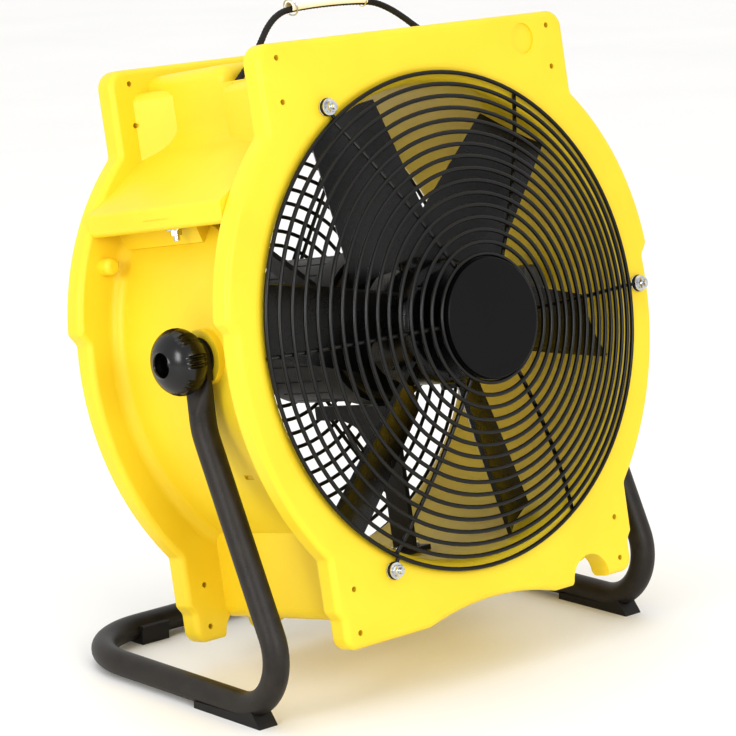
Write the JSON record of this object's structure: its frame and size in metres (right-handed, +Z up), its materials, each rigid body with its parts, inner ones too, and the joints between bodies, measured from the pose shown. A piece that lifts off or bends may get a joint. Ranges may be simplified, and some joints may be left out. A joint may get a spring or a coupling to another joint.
{
  "type": "axial air mover",
  "caption": "Tilting axial air mover: moulded duct housing with wire guards, clamp-hub rotor and motor, on a bent-tube stand with rope handle.",
  "frame": {"origin": "middle of the footprint of the whole machine, on the floor", "axes": "+Z up; air leaves towards -Y, the guarded front with the disc; +X is the right-hand side seen from the front"},
  "size_m": [0.5758, 0.3886, 0.6442],
  "materials": {
    "housing": "satin rotomoulded polyethylene",
    "guard_wire": "satin powder coat over welded steel wire",
    "badge": "matt moulded",
    "zinc": "bright zinc plated",
    "hub": "matt glass-filled nylon",
    "blade": "satin glass-filled nylon",
    "steel": "ground steel",
    "lamination": "stacked electrical steel",
    "winding": "varnished copper wire",
    "motor": "dark grey enamel on aluminium",
    "arm": "black powder coat on flat steel",
    "box_grey": "matt moulded",
    "box_black": "fine spark-eroded texture",
    "knob": "semi-gloss phenolic",
    "capacitor": "smooth plastic can",
    "rope": "braided polypropylene",
    "grip": "split translucent hose",
    "pivot_washer": "fibre-filled rubber",
    "stand": "brown-black structured powder coat",
    "shoe": "matt moulded rubber"
  },
  "bodies": {
    "stand": {"stand_tube": "stand", "shoe_left": "shoe", "shoe_right": "shoe", "pad_left": "shoe", "pad_right": "shoe"},
    "rotor": {"hub_front": "hub", "hub_rear": "hub", "hub_screws": "zinc", "shaft": "steel", "rotor_core": "lamination", "blade_1": "blade", "blade_2": "blade", "blade_3": "blade", "blade_4": "blade", "blade_5": "blade", "blade_6": "blade"},
    "handle": {"rope_handle": "rope", "grip_sleeve": "grip", "grip_rings": "zinc"},
    "knob_left": {"knob_left": "knob"},
    "knob_right": {"knob_right": "knob"},
    "switch": {"switch_knob": "knob"},
    "head": {"arm_bolts": "zinc", "arm_nuts": "zinc", "arm_washers": "zinc", "bearing_front": "steel", "bearing_rear": "steel", "bottom_arm_screws": "zinc", "cable_gland": "box_black", "capacitor": "capacitor", "control_box": "box_black", "front_guard_nuts": "zinc", "front_guard_rings": "guard_wire", "front_guard_spokes": "guard_wire", "front_guard_studs": "zinc", "front_guard_washers": "zinc", "guard_badge": "badge", "housing": "housing", "motor_arm_bottom": "arm", "motor_arm_left": "arm", "motor_arm_right": "arm", "motor_band": "arm", "motor_bell_front": "motor", "motor_bell_rear": "motor", "motor_bolts": "zinc", "motor_frame": "motor", "pivot_stud_left": "zinc", "pivot_stud_right": "zinc", "pivot_washer_left": "pivot_washer", "pivot_washer_right": "pivot_washer", "rear_guard_nuts": "zinc", "rear_guard_rings": "guard_wire", "rear_guard_spokes": "guard_wire", "rear_guard_studs": "zinc", "rear_guard_washers": "zinc", "stator": "lamination", "terminal_box": "box_grey", "windings": "winding"}
  },
  "joints": [
    {"name": "head_tilt", "type": "hinge", "parent": "stand", "child": "head", "pos_m": [0, -0.04369, 0.336], "axis": [-1, 0, 0], "range_deg": [-4, 40]},
    {"name": "rotor_spin", "type": "hinge", "parent": "head", "child": "rotor", "pos_m": [0, -0.09922, 0.34011], "axis": [0, -0.9848, 0.1736], "continuous": true},
    {"name": "knob_left_turn", "type": "hinge", "parent": "head", "child": "knob_left", "pos_m": [-0.268, -0.04369, 0.336], "axis": [-1, 0, 0], "range_deg": [-180, 180]},
    {"name": "knob_right_turn", "type": "hinge", "parent": "head", "child": "knob_right", "pos_m": [0.268, -0.04369, 0.336], "axis": [1, 0, 0], "range_deg": [-180, 180]},
    {"name": "switch_turn", "type": "hinge", "parent": "head", "child": "switch", "pos_m": [0.262, 0.04311, 0.36984], "axis": [1, 0, 0], "range_deg": [0, 120]},
    {"name": "handle_swing", "type": "hinge", "parent": "head", "child": "handle", "pos_m": [0, 0.00328, 0.57589], "axis": [1, 0, 0], "range_deg": [-3, 70], "deforming": ["rope_handle"]}
  ]
}
